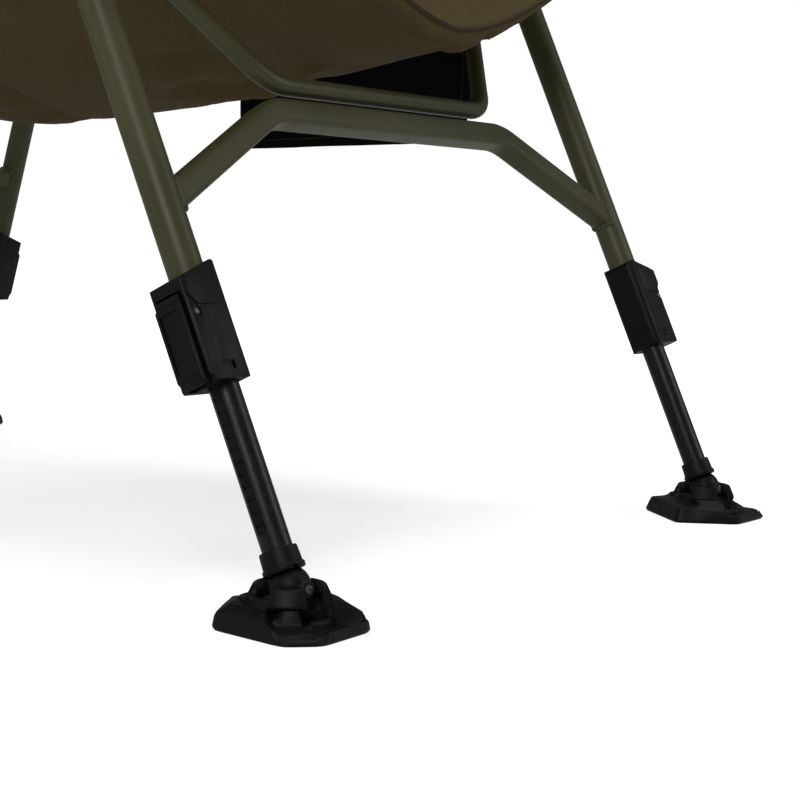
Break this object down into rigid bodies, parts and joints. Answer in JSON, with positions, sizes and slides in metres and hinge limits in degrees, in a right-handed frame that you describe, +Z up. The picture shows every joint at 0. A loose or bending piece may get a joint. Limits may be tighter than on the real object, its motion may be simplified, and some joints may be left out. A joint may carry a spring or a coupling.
{
  "type": "carp fishing chair",
  "caption": "Folding carp fishing chair with olive tube frame, padded sling seat, reclining back, armrests and telescopic locking legs on swivel mud feet.",
  "frame": {"origin": "on the ground, midway between the four feet", "axes": "+Z is up, the sitter faces -Y, and +X is the sitter's left"},
  "size_m": [0.7084, 1.076, 1.096],
  "materials": {
    "frame_paint": "satin",
    "moulding": "satin",
    "black_tube": "satin",
    "fabric": "matte",
    "panel": "matte",
    "arm_foam": "matte"
  },
  "bodies": {
    "seat_frame": {"seat_rail_left": "frame_paint", "seat_rail_right": "frame_paint", "rail_plug_left": "moulding", "rail_plug_right": "moulding", "back_bracket_left": "frame_paint", "back_bracket_right": "frame_paint", "front_leg_plate_left": "frame_paint", "front_leg_plate_right": "frame_paint", "rear_leg_plate_left": "frame_paint", "rear_leg_plate_right": "frame_paint", "front_hoop": "frame_paint", "rear_cross_bar": "frame_paint", "seat_pad": "fabric", "side_pocket": "panel"},
    "backrest": {"back_frame": "frame_paint", "back_cross_bar": "frame_paint", "back_pad": "fabric", "head_pillow": "fabric"},
    "arm_post_left": {"arm_post_left": "frame_paint"},
    "arm_left": {"arm_bar_left": "frame_paint", "arm_pad_left": "arm_foam"},
    "knob_left": {"recline_knob_left": "moulding"},
    "arm_post_right": {"arm_post_right": "frame_paint"},
    "arm_right": {"arm_bar_right": "frame_paint", "arm_pad_right": "arm_foam"},
    "knob_right": {"recline_knob_right": "moulding"},
    "front_legs": {"front_brace": "frame_paint", "leg_tube_front_left": "frame_paint", "lock_housing_front_left": "moulding", "leg_tube_front_right": "frame_paint", "lock_housing_front_right": "moulding"},
    "rear_legs": {"rear_brace": "frame_paint", "leg_tube_rear_left": "frame_paint", "lock_housing_rear_left": "moulding", "leg_tube_rear_right": "frame_paint", "lock_housing_rear_right": "moulding"},
    "extension_front_left": {"inner_tube_front_left": "black_tube", "rack_front_left": "moulding", "foot_collar_front_left": "moulding"},
    "lever_front_left": {"lock_lever_front_left": "moulding"},
    "knuckle_front_left": {"foot_knuckle_front_left": "moulding"},
    "foot_front_left": {"foot_base_front_left": "moulding"},
    "extension_front_right": {"inner_tube_front_right": "black_tube", "rack_front_right": "moulding", "foot_collar_front_right": "moulding"},
    "lever_front_right": {"lock_lever_front_right": "moulding"},
    "knuckle_front_right": {"foot_knuckle_front_right": "moulding"},
    "foot_front_right": {"foot_base_front_right": "moulding"},
    "extension_rear_left": {"inner_tube_rear_left": "black_tube", "rack_rear_left": "moulding", "foot_collar_rear_left": "moulding"},
    "lever_rear_left": {"lock_lever_rear_left": "moulding"},
    "knuckle_rear_left": {"foot_knuckle_rear_left": "moulding"},
    "foot_rear_left": {"foot_base_rear_left": "moulding"},
    "extension_rear_right": {"inner_tube_rear_right": "black_tube", "rack_rear_right": "moulding", "foot_collar_rear_right": "moulding"},
    "lever_rear_right": {"lock_lever_rear_right": "moulding"},
    "knuckle_rear_right": {"foot_knuckle_rear_right": "moulding"},
    "foot_rear_right": {"foot_base_rear_right": "moulding"}
  },
  "joints": [
    {"name": "back_recline", "type": "hinge", "parent": "seat_frame", "child": "backrest", "pos_m": [0, 0.11639, 0.4999], "axis": [1, 0, 0], "range_deg": [-28, 99]},
    {"name": "arm_post_fold_left", "type": "hinge", "parent": "seat_frame", "child": "arm_post_left", "pos_m": [0.309, -0.33972, 0.52082], "axis": [1, 0, 0], "range_deg": [-28, 99]},
    {"name": "arm_level_left", "type": "hinge", "parent": "arm_post_left", "child": "arm_left", "pos_m": [0.309, -0.24168, 0.67771], "axis": [1, 0, 0], "range_deg": [-99, 28]},
    {"name": "knob_turn_left", "type": "hinge", "parent": "seat_frame", "child": "knob_left", "pos_m": [0.305, 0.11639, 0.4999], "axis": [1, 0, 0], "continuous": true},
    {"name": "arm_post_fold_right", "type": "hinge", "parent": "seat_frame", "child": "arm_post_right", "pos_m": [-0.309, -0.33972, 0.52082], "axis": [1, 0, 0], "range_deg": [-28, 99]},
    {"name": "arm_level_right", "type": "hinge", "parent": "arm_post_right", "child": "arm_right", "pos_m": [-0.309, -0.24168, 0.67771], "axis": [1, 0, 0], "range_deg": [-99, 28]},
    {"name": "knob_turn_right", "type": "hinge", "parent": "seat_frame", "child": "knob_right", "pos_m": [-0.305, 0.11639, 0.4999], "axis": [-1, 0, 0], "continuous": true},
    {"name": "front_leg_fold", "type": "hinge", "parent": "seat_frame", "child": "front_legs", "pos_m": [0, -0.26336, 0.5109], "axis": [1, 0, 0], "range_deg": [0, 78], "deforming": ["seat_pad"]},
    {"name": "rear_leg_fold", "type": "hinge", "parent": "seat_frame", "child": "rear_legs", "pos_m": [0, 0.36884, 0.4288], "axis": [-1, 0, 0], "range_deg": [0, 100], "deforming": ["side_pocket"]},
    {"name": "leg_slide_front_left", "type": "slide", "parent": "front_legs", "child": "extension_front_left", "axis": [0, 0.4231, 0.9061], "range_m": [-0.06, 0.095]},
    {"name": "lever_swing_front_left", "type": "hinge", "parent": "front_legs", "child": "lever_front_left", "pos_m": [0.3295, -0.41207, 0.19241], "axis": [0, -0.9061, 0.4231], "range_deg": [0, 15], "stiffness_Nm_per_rad": 0.3, "springref_deg": -17.19},
    {"name": "foot_pitch_front_left", "type": "hinge", "parent": "extension_front_left", "child": "knuckle_front_left", "pos_m": [0.309, -0.4895, 0.0266], "axis": [1, 0, 0], "range_deg": [-20, 15]},
    {"name": "foot_roll_front_left", "type": "hinge", "parent": "knuckle_front_left", "child": "foot_front_left", "pos_m": [0.309, -0.4895, 0.0266], "axis": [0, 1, 0], "range_deg": [-15, 15]},
    {"name": "leg_slide_front_right", "type": "slide", "parent": "front_legs", "child": "extension_front_right", "axis": [0, 0.4231, 0.9061], "range_m": [-0.06, 0.095]},
    {"name": "lever_swing_front_right", "type": "hinge", "parent": "front_legs", "child": "lever_front_right", "pos_m": [-0.3295, -0.41207, 0.19241], "axis": [0, 0.9061, -0.4231], "range_deg": [0, 15], "stiffness_Nm_per_rad": 0.3, "springref_deg": -17.19},
    {"name": "foot_pitch_front_right", "type": "hinge", "parent": "extension_front_right", "child": "knuckle_front_right", "pos_m": [-0.309, -0.4895, 0.0266], "axis": [1, 0, 0], "range_deg": [-20, 15]},
    {"name": "foot_roll_front_right", "type": "hinge", "parent": "knuckle_front_right", "child": "foot_front_right", "pos_m": [-0.309, -0.4895, 0.0266], "axis": [0, 1, 0], "range_deg": [-15, 15]},
    {"name": "leg_slide_rear_left", "type": "slide", "parent": "rear_legs", "child": "extension_rear_left", "axis": [0, -0.2874, 0.9578], "range_m": [-0.06, 0.095]},
    {"name": "lever_swing_rear_left", "type": "hinge", "parent": "rear_legs", "child": "lever_rear_left", "pos_m": [0.3295, 0.43691, 0.20188], "axis": [0, -0.9578, -0.2874], "range_deg": [0, 15], "stiffness_Nm_per_rad": 0.3, "springref_deg": -17.19},
    {"name": "foot_pitch_rear_left", "type": "hinge", "parent": "extension_rear_left", "child": "knuckle_rear_left", "pos_m": [0.309, 0.4895, 0.0266], "axis": [-1, 0, 0], "range_deg": [-20, 15]},
    {"name": "foot_roll_rear_left", "type": "hinge", "parent": "knuckle_rear_left", "child": "foot_rear_left", "pos_m": [0.309, 0.4895, 0.0266], "axis": [0, 1, 0], "range_deg": [-15, 15]},
    {"name": "leg_slide_rear_right", "type": "slide", "parent": "rear_legs", "child": "extension_rear_right", "axis": [0, -0.2874, 0.9578], "range_m": [-0.06, 0.095]},
    {"name": "lever_swing_rear_right", "type": "hinge", "parent": "rear_legs", "child": "lever_rear_right", "pos_m": [-0.3295, 0.43691, 0.20188], "axis": [0, 0.9578, 0.2874], "range_deg": [0, 15], "stiffness_Nm_per_rad": 0.3, "springref_deg": -17.19},
    {"name": "foot_pitch_rear_right", "type": "hinge", "parent": "extension_rear_right", "child": "knuckle_rear_right", "pos_m": [-0.309, 0.4895, 0.0266], "axis": [-1, 0, 0], "range_deg": [-20, 15]},
    {"name": "foot_roll_rear_right", "type": "hinge", "parent": "knuckle_rear_right", "child": "foot_rear_right", "pos_m": [-0.309, 0.4895, 0.0266], "axis": [0, 1, 0], "range_deg": [-15, 15]}
  ],
  "couplings": [
    {"joint": "arm_post_fold_left", "follows": "back_recline", "ratio": 1},
    {"joint": "arm_level_left", "follows": "back_recline", "ratio": -1},
    {"joint": "arm_post_fold_right", "follows": "back_recline", "ratio": 1},
    {"joint": "arm_level_right", "follows": "back_recline", "ratio": -1}
  ]
}
